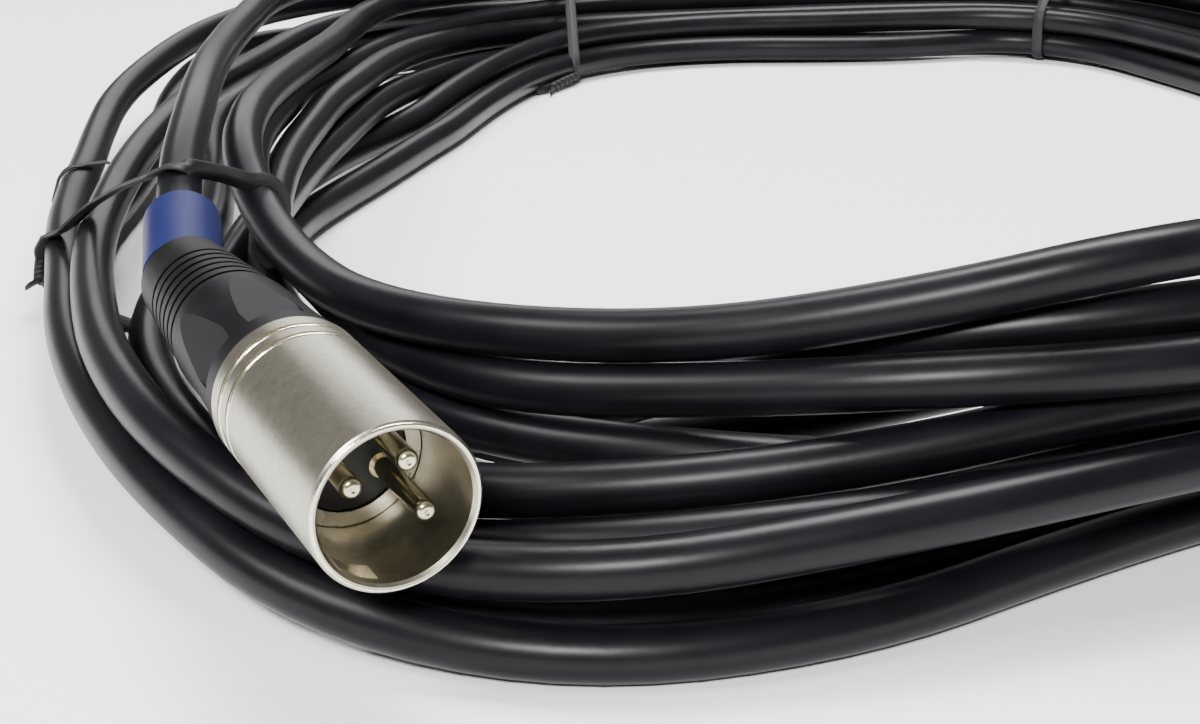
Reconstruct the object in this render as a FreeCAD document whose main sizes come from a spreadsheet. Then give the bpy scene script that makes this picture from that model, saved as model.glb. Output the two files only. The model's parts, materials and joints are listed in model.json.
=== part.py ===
"""XLR cable coil: a loose coil of microphone / DMX cable with its two connectors.

Frame: +Z up, z = 0 is the surface that the coil lies on, and the origin is below the
middle of the whole object.  Millimetres throughout.

Each connector is drawn in its own frame: the axis is Z, z = 0 is the mouth, +Z runs back
towards the cable, and +Y is the side of the latch.
"""
import FreeCAD, Part
import math
import os
import Sketcher
from FreeCAD import Placement, Rotation, Vector

os.makedirs("parts", exist_ok=True)
DOC = FreeCAD.newDocument("xlr_cable_coil")
SHEET = DOC.addObject("Spreadsheet::Sheet", "Sizes")

SIZES = {
    # cable
    "jacket_radius": 3.25,
    "core_radius": 0.75,
    "drain_radius": 0.5,
    # shells, both connectors
    "shell_radius": 9.4,
    "shell_lip_radius": 9.0,
    "shell_lip_depth": 0.4,
    "shell_length": 32.0,
    "beyond_radius": 12.0,
    "thread_radius": 7.9,
    "thread_start": 27.0,
    "groove_floor_radius": 9.05,
    "groove_one_start": 25.9,
    "groove_one_end": 27.1,
    "groove_two_start": 28.7,
    "groove_two_end": 29.9,
    # male cup
    "cup_radius": 8.35,
    "cup_lip_radius": 8.65,
    "cup_depth": 15.0,
    "seat_radius": 7.7,
    "notch_half_width": 2.3,
    "notch_top": 9.05,
    "notch_start": 1.6,
    "notch_end": 4.6,
    # male insert, earth ring and pins
    "insert_radius": 7.6,
    "insert_end": 23.0,
    "earth_outer": 8.25,
    "earth_inner": 6.6,
    "earth_start": 14.0,
    "insert_nose_radius": 6.5,
    "insert_nose_start": 14.4,
    "pin_circle_radius": 4.45,
    "pin_radius": 1.2,
    "pin_tip_radius": 0.65,
    "pin_tip": 2.0,
    "pin_shoulder": 2.6,
    "cup_outer_radius": 1.5,
    "cup_bore_radius": 1.0,
    "male_cup_end": 27.6,
    "male_cup_floor": 24.6,
    # female nose, insert and sockets
    "nose_radius": 8.05,
    "nose_bore_radius": 7.3,
    "nose_length": 14.5,
    "female_insert_radius": 7.2,
    "female_insert_start": 0.5,
    "female_insert_end": 25.0,
    "socket_radius": 1.9,
    "socket_bore_radius": 1.25,
    "socket_start": 0.8,
    "socket_floor": 13.6,
    "female_cup_floor": 26.0,
    "female_cup_end": 29.0,
    "retainer_outer": 7.8,
    "retainer_inner": 6.4,
    "retainer_start": 25.1,
    "retainer_end": 26.7,
    # latch
    "channel_half_width": 2.2,
    "channel_floor": 3.4,
    "channel_start": 4.4,
    "channel_end": 25.0,
    "slot_end": 24.9,
    "latch_width": 3.8,
    "latch_front": 5.4,
    "latch_back": 24.6,
    "latch_under": 5.1,
    "latch_top": 7.0,
    "hook_start": 6.6,
    "hook_peak": 8.4,
    "hook_end": 8.9,
    "hook_height": 8.7,
    "button_front": 16.0,
    "button_back": 21.0,
    "button_height": 10.5,
    "pivot_height": 6.0,
    "pivot_station": 23.3,
    "pivot_radius": 0.5,
    "pivot_hole_radius": 0.55,
    "pivot_length": 5.8,
    "spring_start": 9.0,
    "spring_foot": 2.0,
    "spring_length": 5.0,
    "spring_width": 2.4,
    "spring_thickness": 0.2,
    # seal ring, bushing, boot, sleeve and chuck
    "seal_radius": 9.25,
    "seal_end": 32.6,
    "bushing_front_radius": 9.15,
    "bushing_rear_radius": 8.1,
    "bushing_thread_radius": 7.85,
    "bushing_bore_radius": 6.4,
    "bushing_end": 52.0,
    "bushing_floor": 49.4,
    "bushing_hole_radius": 4.0,
    "bushing_neck_radius": 5.6,
    "bushing_neck_end": 57.0,
    "flat_distance": 8.15,
    "flat_start": 35.5,
    "flat_half_width": 3.3,
    "flat_count": 6,
    "boot_front_radius": 8.0,
    "boot_rear_radius": 6.3,
    "boot_start": 52.1,
    "boot_pocket_radius": 5.7,
    "boot_pocket_end": 57.4,
    "boot_bore_radius": 3.45,
    "boot_end": 74.0,
    "rib_groove_start": 53.6,
    "rib_groove_stop": 54.4,
    "rib_groove_floor": 6.55,
    "rib_groove_pitch": 2.4,
    "rib_groove_count": 6,
    "chuck_start": 35.5,
    "chuck_end": 49.0,
    "chuck_front_radius": 5.4,
    "chuck_rear_radius": 6.2,
    "chuck_bore_radius": 3.3,
    "chuck_slit_half_width": 0.6,
    "jacket_start": 34.0,
    "jacket_end": 45.0,
    "sleeve_radius": 5.4,
    "sleeve_bore_radius": 3.9,
    "sleeve_length": 15.0,
    # twist ties
    "tie_width": 2.8,
    "tie_thickness": 1.0,
    "tie_corner": 9.0,
    "tie_tail_radius": 1.3,
    "tie_tail_length": 14.0,
}


def fill_sheet():
    """Write each driving dimension into the sheet and give its cell an alias."""
    for row, (alias, number) in enumerate(SIZES.items(), start=1):
        SHEET.set("A%d" % row, alias)
        SHEET.set("B%d" % row, str(number))
        SHEET.setAlias("B%d" % row, alias)
    DOC.recompute()


def size(alias):
    """The value of a cell; a leading minus sign gives its negative."""
    if alias is None:
        return 0.0
    if alias.startswith("-"):
        return -float(SHEET.get(alias[1:]))
    return float(SHEET.get(alias))


def cell(alias):
    """The same cell as an expression."""
    return "-Sizes." + alias[1:] if alias.startswith("-") else "Sizes." + alias


# ---------------------------------------------------------------- sketches and features

def new_body(label):
    body = DOC.addObject("PartDesign::Body", label)
    body.Label = label
    return body


def hold(sketch, direction, corner, alias):
    """Tie one coordinate of a corner to a cell, or to the axis where it is zero."""
    if alias is None:
        axis = -2 if direction == "DistanceX" else -1
        sketch.addConstraint(Sketcher.Constraint("PointOnObject", corner, 1, axis))
        return
    rule = Sketcher.Constraint(direction, -1, 1, corner, 1, size(alias))
    index = sketch.addConstraint(rule)
    name = "corner_%d_%s" % (corner, direction[-1])
    sketch.renameConstraint(index, name)
    sketch.setExpression("Constraints." + name, cell(alias))


def outline(body, plane, corners):
    """A closed polygon sketch on one of the body's own planes."""
    sketch = body.newObject("Sketcher::SketchObject", body.Label + "_sketch")
    support = [item for item in body.Origin.OriginFeatures if item.Role == plane][0]
    sketch.AttachmentSupport = [(support, "")]
    sketch.MapMode = "FlatFace"
    points = [Vector(size(across), size(along), 0) for across, along in corners]
    for index, point in enumerate(points):
        sketch.addGeometry(Part.LineSegment(point, points[(index + 1) % len(points)]), False)
    for index in range(len(points)):
        following = (index + 1) % len(points)
        sketch.addConstraint(Sketcher.Constraint("Coincident", index, 2, following, 1))
    for index, (across, along) in enumerate(corners):
        hold(sketch, "DistanceX", index, across)
        hold(sketch, "DistanceY", index, along)
    return sketch


def turn_about_axis(body, corners, kind="PartDesign::Revolution"):
    """Revolve (or groove) an outline of (radius, station) corners about the body's Z axis."""
    sketch = outline(body, "XZ_Plane", corners)
    feature = body.newObject(kind, body.Label + "_turned")
    feature.Profile = sketch
    feature.ReferenceAxis = (sketch, ["V_Axis"])
    feature.Angle = 360.0
    DOC.recompute()
    return feature


def cut_across(body, plane, corners, width_expression):
    """Pocket an outline evenly to both sides of its plane."""
    before = body.Shape.Volume
    pocket = body.newObject("PartDesign::Pocket", body.Label + "_cut")
    pocket.Profile = outline(body, plane, corners)
    pocket.Midplane = True
    pocket.setExpression("Length", width_expression)
    DOC.recompute()
    if not body.Shape.Volume < before - 1e-3:
        raise RuntimeError("the pocket in %s cuts nothing" % body.Label)
    return pocket


def repeat(body, feature, kind, settings, count):
    """Pattern a feature and make the pattern the body's tip."""
    pattern = body.newObject(kind, body.Label + "_pattern")
    pattern.Originals = [feature]
    for name, value in settings.items():
        setattr(pattern, name, value)
    pattern.setExpression("Occurrences", count)
    body.Tip = pattern
    DOC.recompute()
    return pattern


def body_axis(body, role):
    return [item for item in body.Origin.OriginFeatures if item.Role == role][0]


def turned_body(label, corners):
    body = new_body(label)
    turn_about_axis(body, corners)
    return body


# ---------------------------------------------------------------- connector pieces

def ring(label, inner, outer, start, end):
    """A plain ring between two stations."""
    corners = [(inner, start), (outer, start), (outer, end), (inner, end)]
    return turned_body(label, corners)


def milled_rings(body):
    """The two shallow bright grooves turned near the back of a shell."""
    for start, end in (("groove_one_start", "groove_one_end"),
                       ("groove_two_start", "groove_two_end")):
        corners = [("groove_floor_radius", start), ("beyond_radius", start),
                   ("beyond_radius", end), ("groove_floor_radius", end)]
        turn_about_axis(body, corners, "PartDesign::Groove")


def male_shell():
    body = turned_body("male_shell", [
        ("cup_lip_radius", None), ("shell_lip_radius", None),
        ("shell_radius", "shell_lip_depth"), ("shell_radius", "shell_length"),
        ("thread_radius", "shell_length"), ("thread_radius", "thread_start"),
        ("seat_radius", "thread_start"), ("seat_radius", "cup_depth"),
        ("cup_radius", "cup_depth"), ("cup_radius", "shell_lip_depth")])
    milled_rings(body)
    corners = [("seat_radius", "notch_start"), ("notch_top", "notch_start"),
               ("notch_top", "notch_end"), ("seat_radius", "notch_end")]
    cut_across(body, "YZ_Plane", corners, "2 * Sizes.notch_half_width")
    return body


def female_shell():
    body = turned_body("female_shell", [
        ("nose_bore_radius", None), ("nose_radius", None), ("nose_radius", "nose_length"),
        ("shell_radius", "nose_length"), ("shell_radius", "shell_length"),
        ("thread_radius", "shell_length"), ("thread_radius", "retainer_start"),
        ("nose_bore_radius", "retainer_start")])
    milled_rings(body)
    corners = [("latch_under", "channel_start"), ("beyond_radius", "channel_start"),
               ("beyond_radius", "slot_end"), ("latch_under", "slot_end")]
    cut_across(body, "YZ_Plane", corners, "2 * Sizes.channel_half_width")
    return body


def drill_contact_holes(body, radius):
    """Three through holes on the pin circle, at 0, 180 and 270 degrees."""
    sketch = body.newObject("Sketcher::SketchObject", body.Label + "_holes_sketch")
    support = body_axis(body, "XY_Plane")
    sketch.AttachmentSupport = [(support, "")]
    sketch.MapMode = "FlatFace"
    reach = size("pin_circle_radius")
    centres = [(reach, 0.0), (-reach, 0.0), (0.0, -reach)]
    for index, (across, up) in enumerate(centres):
        sketch.addGeometry(Part.Circle(Vector(across, up, 0), Vector(0, 0, 1), size(radius)), False)
        bore = sketch.addConstraint(Sketcher.Constraint("Radius", index, size(radius)))
        sketch.renameConstraint(bore, "hole_radius_%d" % index)
        sketch.setExpression("Constraints.hole_radius_%d" % index, cell(radius))
        on_axis = -1 if up == 0.0 else -2
        sketch.addConstraint(Sketcher.Constraint("PointOnObject", index, 3, on_axis))
        direction = "DistanceX" if up == 0.0 else "DistanceY"
        offset = across if up == 0.0 else up
        place = sketch.addConstraint(
            Sketcher.Constraint(direction, -1, 1, index, 3, offset))
        sketch.renameConstraint(place, "hole_place_%d" % index)
        sign = "-" if offset < 0 else ""
        sketch.setExpression("Constraints.hole_place_%d" % index, sign + "Sizes.pin_circle_radius")
    before = body.Shape.Volume
    pocket = body.newObject("PartDesign::Pocket", body.Label + "_holes")
    pocket.Profile = sketch
    pocket.Midplane = True
    pocket.Type = "ThroughAll"
    DOC.recompute()
    if not body.Shape.Volume < before - 1.0:
        raise RuntimeError("the contact holes in %s cut nothing" % body.Label)


def male_insert():
    body = turned_body("male_insert", [
        (None, "insert_nose_start"), ("insert_nose_radius", "insert_nose_start"),
        ("insert_nose_radius", "cup_depth"), ("insert_radius", "cup_depth"),
        ("insert_radius", "insert_end"), (None, "insert_end")])
    drill_contact_holes(body, "cup_outer_radius")
    return body


def female_insert():
    body = turned_body("female_insert", [
        (None, "female_insert_start"), ("female_insert_radius", "female_insert_start"),
        ("female_insert_radius", "female_insert_end"), (None, "female_insert_end")])
    drill_contact_holes(body, "socket_radius")
    corners = [("channel_floor", "channel_start"), ("beyond_radius", "channel_start"),
               ("beyond_radius", "channel_end"), ("channel_floor", "channel_end")]
    cut_across(body, "YZ_Plane", corners, "2 * Sizes.channel_half_width")
    drill_pivot_hole(body, "pivot_radius")
    return body


def drill_pivot_hole(body, radius):
    """A hole along the connector's X axis for the latch's pivot pin."""
    sketch = body.newObject("Sketcher::SketchObject", body.Label + "_pivot_hole_sketch")
    sketch.AttachmentSupport = [(body_axis(body, "YZ_Plane"), "")]
    sketch.MapMode = "FlatFace"
    centre = Vector(size("pivot_height"), size("pivot_station"), 0)
    sketch.addGeometry(Part.Circle(centre, Vector(0, 0, 1), size(radius)), False)
    rules = [("Radius", (0,), radius),
             ("DistanceX", (-1, 1, 0, 3), "pivot_height"),
             ("DistanceY", (-1, 1, 0, 3), "pivot_station")]
    for kind, elements, alias in rules:
        index = sketch.addConstraint(Sketcher.Constraint(kind, *elements, size(alias)))
        sketch.renameConstraint(index, "pivot_" + kind)
        sketch.setExpression("Constraints.pivot_" + kind, cell(alias))
    before = body.Shape.Volume
    pocket = body.newObject("PartDesign::Pocket", body.Label + "_pivot_hole")
    pocket.Profile = sketch
    pocket.Midplane = True
    pocket.setExpression("Length", "Sizes.pivot_length")
    DOC.recompute()
    if not body.Shape.Volume < before - 1e-3:
        raise RuntimeError("the pivot hole in %s cuts nothing" % body.Label)


def female_latch():
    """Lever with a hook at its front, a press button and a pivot hole at its back."""
    body = new_body("female_latch")
    corners = [("latch_under", "latch_front"), ("latch_top", "latch_front"),
               ("latch_top", "hook_start"), ("hook_height", "hook_peak"),
               ("hook_height", "hook_end"), ("latch_top", "hook_end"),
               ("latch_top", "button_front"), ("button_height", "button_front"),
               ("button_height", "button_back"), ("latch_top", "button_back"),
               ("latch_top", "latch_back"), ("latch_under", "latch_back")]
    pad = body.newObject("PartDesign::Pad", "female_latch_pad")
    pad.Profile = outline(body, "YZ_Plane", corners)
    pad.Midplane = True
    pad.setExpression("Length", "Sizes.latch_width")
    DOC.recompute()
    drill_pivot_hole(body, "pivot_hole_radius")
    return body


def latch_pivot():
    pin = DOC.addObject("Part::Cylinder", "female_latch_pivot")
    pin.Label = "female_latch_pivot"
    pin.setExpression("Radius", "Sizes.pivot_radius")
    pin.setExpression("Height", "Sizes.pivot_length")
    half = size("pivot_length") / 2
    start = Vector(-half, size("pivot_height"), size("pivot_station"))
    pin.Placement = Placement(start, Rotation(Vector(0, 1, 0), 90))
    return pin


def latch_spring():
    """A bent leaf between the channel's floor and the latch: a foot and a sloping arm."""
    foot = size("channel_floor") + 0.05
    leaf = size("spring_thickness")
    top = size("latch_under") - 0.05
    start = size("spring_start")
    knee = start + size("spring_foot")
    end = start + size("spring_length")
    side = size("spring_width") / 2
    edge = [(foot, start), (foot, knee), (top - leaf, end), (top, end),
            (foot + 1.2 * leaf, knee - 0.2 * leaf), (foot + leaf, start)]
    corners = [Vector(-side, rise, station) for rise, station in edge]
    face = Part.Face(Part.makePolygon(corners + corners[:1]))
    spring = DOC.addObject("Part::Feature", "female_latch_spring")
    spring.Label = "female_latch_spring"
    spring.Shape = face.extrude(Vector(2 * side, 0, 0))
    return spring


def contact(label, female):
    """A pin or socket contact with a solder cup at its back."""
    if female:
        corners = [
            ("socket_bore_radius", "socket_start"), ("socket_radius", "socket_start"),
            ("socket_radius", "female_insert_end"), ("cup_outer_radius", "female_insert_end"),
            ("cup_outer_radius", "female_cup_end"), ("cup_bore_radius", "female_cup_end"),
            ("cup_bore_radius", "female_cup_floor"), (None, "female_cup_floor"),
            (None, "socket_floor"), ("socket_bore_radius", "socket_floor")]
    else:
        corners = [
            (None, "pin_tip"), ("pin_tip_radius", "pin_tip"), ("pin_radius", "pin_shoulder"),
            ("pin_radius", "insert_nose_start"), ("cup_outer_radius", "insert_nose_start"),
            ("cup_outer_radius", "male_cup_end"), ("cup_bore_radius", "male_cup_end"),
            ("cup_bore_radius", "male_cup_floor"), (None, "male_cup_floor")]
    return turned_body(label, corners)


def bushing(label):
    """Threaded nose, grip with finger flats, and a neck that the boot is pushed onto."""
    body = turned_body(label, [
        ("bushing_bore_radius", "thread_start"), ("bushing_thread_radius", "thread_start"),
        ("bushing_thread_radius", "seal_end"), ("bushing_front_radius", "seal_end"),
        ("bushing_rear_radius", "bushing_end"), ("bushing_neck_radius", "bushing_end"),
        ("bushing_neck_radius", "bushing_neck_end"), ("bushing_hole_radius", "bushing_neck_end"),
        ("bushing_hole_radius", "bushing_floor"), ("bushing_bore_radius", "bushing_floor")])
    corners = [("flat_distance", "flat_start"), ("beyond_radius", "flat_start"),
               ("beyond_radius", "bushing_end"), ("flat_distance", "bushing_end")]
    flat = cut_across(body, "XZ_Plane", corners, "2 * Sizes.flat_half_width")
    settings = {"Axis": (body_axis(body, "Z_Axis"), [""]), "Angle": 360.0}
    repeat(body, flat, "PartDesign::PolarPattern", settings, "Sizes.flat_count")
    return body


def boot(label):
    """Tapered rubber strain relief with a row of grooves."""
    body = turned_body(label, [
        ("boot_pocket_radius", "boot_start"), ("boot_front_radius", "boot_start"),
        ("boot_rear_radius", "boot_end"), ("boot_bore_radius", "boot_end"),
        ("boot_bore_radius", "boot_pocket_end"), ("boot_pocket_radius", "boot_pocket_end")])
    corners = [("rib_groove_floor", "rib_groove_start"), ("beyond_radius", "rib_groove_start"),
               ("beyond_radius", "rib_groove_stop"), ("rib_groove_floor", "rib_groove_stop")]
    groove = turn_about_axis(body, corners, "PartDesign::Groove")
    span = size("rib_groove_pitch") * (size("rib_groove_count") - 1)
    settings = {"Direction": (body_axis(body, "Z_Axis"), [""]), "Length": span}
    pattern = repeat(body, groove, "PartDesign::LinearPattern", settings,
                     "Sizes.rib_groove_count")
    pattern.setExpression("Length", "Sizes.rib_groove_pitch * (Sizes.rib_groove_count - 1)")
    return body


def chuck(label):
    """Slit collet that the bushing squeezes onto the jacket."""
    body = turned_body(label, [
        ("chuck_bore_radius", "chuck_start"), ("chuck_front_radius", "chuck_start"),
        ("chuck_rear_radius", "chuck_end"), ("chuck_bore_radius", "chuck_end")])
    corners = [(None, "chuck_start"), ("beyond_radius", "chuck_start"),
               ("beyond_radius", "chuck_end"), (None, "chuck_end")]
    cut_across(body, "YZ_Plane", corners, "2 * Sizes.chuck_slit_half_width")
    return body


def wire_between(label, start, end, radius):
    """A straight inner conductor, its radius held by a cell."""
    direction = end - start
    wire = DOC.addObject("Part::Cylinder", label)
    wire.Label = label
    wire.setExpression("Radius", cell(radius))
    wire.Height = direction.Length
    wire.Placement = Placement(start, Rotation(Vector(0, 0, 1), direction))
    return wire


CONTACT_SPOTS = ((1, 0), (-1, 0), (0, -1))
JACKET_SPOTS = ((1.4, 0.4), (-1.4, 0.4), (0.0, -1.5))
CONDUCTORS = (("conductor_hot", "core_radius"), ("conductor_cold", "core_radius"),
              ("drain_wire", "drain_radius"))


def inner_wires(prefix, cup_floor):
    """Two conductors and the drain wire, from the solder cups to the end of the jacket."""
    wires = []
    reach = size("pin_circle_radius")
    for spot, target, (name, radius) in zip(CONTACT_SPOTS, JACKET_SPOTS, CONDUCTORS):
        start = Vector(reach * spot[0], reach * spot[1], size(cup_floor) + 0.2)
        end = Vector(target[0], target[1], size("jacket_start"))
        wires.append(wire_between("%s_%s" % (prefix, name), start, end, radius))
    return wires


def cable_end(prefix):
    """What both connectors have behind their shell, sleeve left out."""
    return [
        ring(prefix + "_seal_ring", "thread_radius", "seal_radius", "shell_length", "seal_end"),
        bushing(prefix + "_bushing"),
        boot(prefix + "_boot"),
        chuck(prefix + "_chuck"),
        turned_body(prefix + "_jacket_end", [
            (None, "jacket_start"), ("jacket_radius", "jacket_start"),
            ("jacket_radius", "jacket_end"), (None, "jacket_end")]),
    ]


def coding_sleeve(label):
    sleeve = new_body(label)
    turn_about_axis(sleeve, [
        ("sleeve_bore_radius", None), ("sleeve_radius", None),
        ("sleeve_radius", "sleeve_length"), ("sleeve_bore_radius", "sleeve_length")])
    return sleeve


# ---------------------------------------------------------------- where things lie

class ConnectorPose:
    """Where a connector lies: its mouth, the way it points, and its cable's way out."""

    def __init__(self, mouth, heading, rise, roll, way_in):
        turn = Rotation(Vector(0, 0, 1), heading)
        tilt = Rotation(Vector(1, 0, 0), rise - 90.0)
        self.placement = Placement(mouth, turn * tilt * Rotation(Vector(0, 0, 1), roll))
        self.way_in = way_in
        self.bend = self.on_axis(78.0)
        self.rear = (way_in - self.bend).normalize()
        self.sleeve_start = self.on_axis(74.3) + (self.bend - self.on_axis(74.3)) * 0.5

    def on_axis(self, station):
        return self.placement.multVec(Vector(0, 0, station))

    def route(self):
        """Points of the cable from the jacket's end to where it joins the coil."""
        return [self.on_axis(size("jacket_end")), self.bend, self.way_in]

    def sleeve_placement(self):
        return Placement(self.sleeve_start, Rotation(Vector(0, 0, 1), self.rear))


MALE = ConnectorPose(Vector(-67.1, -190.0, 22.6), 27.6, 1.8, 28.0, Vector(-109.2, -92.0, 31.0))
FEMALE = ConnectorPose(Vector(117.0, -57.0, 31.5), -10.5, -4.0, 180.0, Vector(135.0, 46.0, 20.0))


def place(objects, placement):
    """Put pieces drawn in the connector's frame where the connector lies."""
    for item in objects:
        item.Placement = placement.multiply(item.Placement)


def build_male():
    pieces = [male_shell(), male_insert()]
    pieces.append(ring("male_earth_ring", "earth_inner", "earth_outer", "earth_start", "cup_depth"))
    for number, (across, up) in enumerate(CONTACT_SPOTS, start=1):
        pin = contact("male_pin_%d" % number, False)
        reach = size("pin_circle_radius")
        pin.Placement.Base = Vector(reach * across, reach * up, 0)
        pieces.append(pin)
    pieces += cable_end("male")
    pieces += inner_wires("male", "male_cup_floor")
    place(pieces, MALE.placement)
    sleeve = coding_sleeve("male_coding_sleeve")
    sleeve.Placement = MALE.sleeve_placement()
    return pieces + [sleeve]


def build_female():
    pieces = [female_shell(), female_insert(), female_latch(), latch_pivot(), latch_spring()]
    pieces.append(ring("female_retainer", "retainer_inner", "retainer_outer",
                       "retainer_start", "retainer_end"))
    for number, (across, up) in enumerate(CONTACT_SPOTS, start=1):
        socket = contact("female_socket_%d" % number, True)
        reach = size("pin_circle_radius")
        socket.Placement.Base = Vector(reach * across, reach * up, 0)
        pieces.append(socket)
    pieces += cable_end("female")
    pieces += inner_wires("female", "female_cup_floor")
    place(pieces, FEMALE.placement)
    sleeve = coding_sleeve("female_coding_sleeve")
    sleeve.Placement = FEMALE.sleeve_placement()
    return pieces + [sleeve]


# ---------------------------------------------------------------- cable and coil

def bent_tube(label, points, radius):
    """A tube along straight runs joined by tangent arcs as large as the runs allow."""
    edges = []
    start = points[0]
    for before, corner, after in zip(points, points[1:], points[2:]):
        arriving = (corner - before).normalize()
        leaving = (after - corner).normalize()
        half_turn = arriving.getAngle(leaving) / 2
        reach = 0.45 * min((corner - before).Length, (after - corner).Length)
        bend_radius = reach / math.tan(half_turn)
        print("%s: bend radius %.1f mm" % (label, bend_radius))
        inner = (leaving - arriving).normalize()
        middle = corner + inner * (bend_radius / math.cos(half_turn) - bend_radius)
        arc_start = corner - arriving * reach
        arc_end = corner + leaving * reach
        edges.append(Part.LineSegment(start, arc_start).toShape())
        edges.append(Part.Arc(arc_start, middle, arc_end).toShape())
        start = arc_end
    edges.append(Part.LineSegment(start, points[-1]).toShape())
    path = Part.Wire(edges)
    circle = Part.makeCircle(radius, points[0], points[1] - points[0])
    solid = path.makePipeShell([Part.Wire(circle)], True, True)
    expected = math.pi * radius ** 2 * path.Length
    print("%s: length %.1f mm, volume %.1f of %.1f" % (label, path.Length, solid.Volume, expected))
    if abs(solid.Volume / expected - 1) > 0.01:
        raise RuntimeError("%s has the wrong volume" % label)
    tube = DOC.addObject("Part::Feature", label)
    tube.Label = label
    tube.Shape = solid
    return tube


# Outer shape of the coil at even angles round the origin, starting at +X:
# inner radius, outer radius and height of the bundle of turns.
COIL_STATIONS = (
    (104, 155, 24), (116, 168, 28), (139, 190, 32), (156, 196, 32),
    (134, 194, 32), (118, 184, 32), (89, 182, 34), (79, 168, 35),
    (80, 155, 36), (99, 155, 36), (131, 168, 34), (150, 190, 31),
    (133, 174, 38), (114, 155, 40), (100, 155, 26), (98, 155, 22),
)


def station_section(angle, inner, outer, top):
    """The bundle's section at one angle: a low loaf with a flat bottom."""
    loaf = [(inner + 7, 0), (outer - 6, 0), (outer, 5), (outer, 0.55 * top),
            (outer - 11, top), (inner + 13, top), (inner, 0.5 * top), (inner, 6)]
    across = Vector(math.cos(angle), math.sin(angle), 0)
    corners = [across * radius + Vector(0, 0, level) for radius, level in loaf]
    return Part.makePolygon(corners + corners[:1])


def strip_between(a, b):
    """The face between two matching edges: a true plane where the coil rests."""
    corners = [a.Vertexes[0].Point, a.Vertexes[1].Point, b.Vertexes[1].Point,
               b.Vertexes[0].Point]
    if max(abs(corner.z) for corner in corners) > 1e-6:
        return Part.makeRuledSurface(a, b)
    return Part.Face(Part.makePolygon(corners + corners[:1]))


def coil_loaf():
    """One closed ring through all the stations, with flat ruled faces."""
    step = 2 * math.pi / len(COIL_STATIONS)
    sections = [station_section(index * step, *values)
                for index, values in enumerate(COIL_STATIONS)]
    faces = []
    for near, far in zip(sections, sections[1:] + sections[:1]):
        for a, b in zip(near.Edges, far.Edges):
            faces.append(strip_between(a, b))
    shell = Part.makeShell(faces)
    solid = Part.makeSolid(shell)
    if solid.Volume < 0:
        solid.reverse()
    return solid


def open_trench(pose_point, direction, start, end, radius):
    """Room for a round piece that lies in the coil and was laid in from above."""
    base = pose_point + direction * start
    rod = Part.makeCylinder(radius, end - start, base, direction)
    flat = Vector(direction.x, direction.y, 0).normalize()
    side = Vector(-flat.y, flat.x, 0)
    low = base - side * radius
    slot = Part.makeBox(end - start, 2 * radius, 60.0)
    frame = FreeCAD.Matrix(direction.x, side.x, 0, low.x,
                           direction.y, side.y, 0, low.y,
                           direction.z, side.z, 1, low.z, 0, 0, 0, 1)
    return rod.fuse(slot.transformGeometry(frame))


def connector_room(pose):
    """The space that a connector and the start of its cable need inside the coil."""
    rear = (pose.on_axis(1.0) - pose.on_axis(0.0)).normalize()
    mouth = pose.on_axis(0.0)
    sleeve_from = pose.sleeve_start
    to_wall = (pose.way_in - sleeve_from).Length
    return [
        open_trench(mouth, rear, -14.0, 52.5, size("shell_radius") + 0.5),
        open_trench(mouth, rear, 52.0, 75.0, size("boot_front_radius") + 0.5),
        open_trench(sleeve_from, pose.rear, -3.0, size("sleeve_length") + 1.0,
                    size("sleeve_radius") + 0.5),
        Part.makeCylinder(size("jacket_radius") + 0.25, to_wall + 2.0,
                          pose.way_in - pose.rear * (to_wall + 2.0), pose.rear),
    ]


# Twist ties: middle of the bundle, the way across it and away from the tie's tail,
# half width and height of the loop, and which way round the coil the tail points.
TIES = (
    ("tie_left", Vector(-118, -73, 0), Vector(0.8, -0.6, 0), 34.0, 37.5, 1),
    ("tie_back_left", Vector(-58, 139, 0), Vector(-0.39, 0.92, 0), 31.0, 32.0, -1),
    ("tie_back_right", Vector(83, 156, 0), Vector(-0.47, -0.88, 0), 26.0, 32.0, 1),
    ("tie_right", Vector(133.2, 50, 0), Vector(0.93, 0.36, 0), 23.5, 29.0, 1),
)


def tie_loop(middle, across, half_width, height, inset, width):
    """A prism with the loop's rounded outline, inset from its outer face."""
    side = half_width - inset
    top = height - inset
    corner = size("tie_corner") - 0.4 * inset
    edge = [(side - corner, inset), (side, inset + corner / 2), (side, top - corner),
            (side - corner, top)]
    half = [(across_by, level) for across_by, level in edge]
    mirrored = [(-across_by, level) for across_by, level in reversed(edge)]
    along = across.normalize()
    normal = along.cross(Vector(0, 0, 1)).normalize()
    start = middle - normal * (width / 2)
    corners = [start + along * a + Vector(0, 0, b) for a, b in half + mirrored]
    face = Part.Face(Part.makePolygon(corners + corners[:1]))
    return face.extrude(normal * width)


def tie_tail(middle, across, half_width, height, way, radius):
    """The tie's two ends, twisted together into a short tail beside the bundle."""
    along = across.normalize()
    normal = along.cross(Vector(0, 0, 1)).normalize() * way
    root = middle - along * (half_width - 0.5) + Vector(0, 0, 0.4 * height)
    return Part.makeCylinder(radius, size("tie_tail_length"), root - along * radius, normal)


def build_tie(label, middle, across, half_width, height, way):
    """A flat tie round the bundle, with its tail."""
    width = size("tie_width")
    thickness = size("tie_thickness")
    loop = tie_loop(middle, across, half_width, height, 0.0, width)
    loop = loop.cut(tie_loop(middle, across, half_width, height, thickness, width + 1.0))
    tail = tie_tail(middle, across, half_width, height, way, size("tie_tail_radius"))
    tie = DOC.addObject("Part::Feature", label)
    tie.Label = label
    tie.Shape = loop.fuse(tail).removeSplitter()
    return tie


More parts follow.
